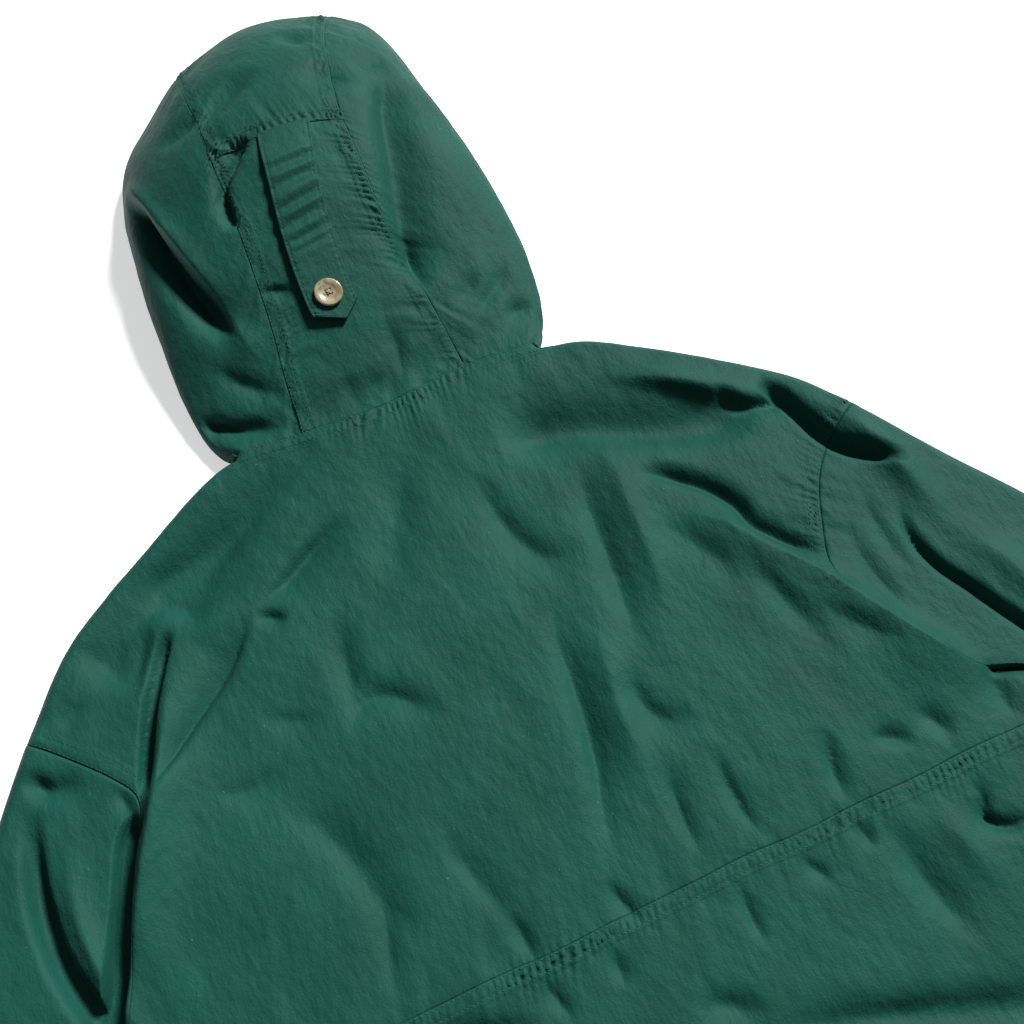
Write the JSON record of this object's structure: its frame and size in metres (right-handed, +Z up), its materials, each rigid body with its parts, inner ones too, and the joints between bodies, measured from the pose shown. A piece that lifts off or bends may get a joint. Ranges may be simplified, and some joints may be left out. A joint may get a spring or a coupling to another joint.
{
  "type": "anorak smock, laid flat face down",
  "caption": "Pullover anorak smock laid face down, hood puffed up with a buttoned tab, waist seam and long sleeves.",
  "frame": {"origin": "middle of the laid-out garment in plan, on the surface it rests on", "axes": "+Z up from the surface, +Y from the hem toward the hood, +X to the right as the back is seen"},
  "size_m": [1.146, 1.0998, 0.0781],
  "materials": {
    "shell_cloth": "dense matte-satin nylon and cotton weave, deep green",
    "button_horn": "polished horn-like resin, cream with a brown mottled rim"
  },
  "bodies": {
    "root": {"front_upper": "shell_cloth", "front_lower": "shell_cloth", "back_upper": "shell_cloth", "back_lower": "shell_cloth", "sleeve_left": "shell_cloth", "sleeve_right": "shell_cloth", "hood_side_left": "shell_cloth", "hood_side_right": "shell_cloth", "hood_centre_lower": "shell_cloth", "hood_centre_upper": "shell_cloth", "hood_edge_band": "shell_cloth", "hood_tab": "shell_cloth", "tab_button": "button_horn"}
  },
  "joints": []
}
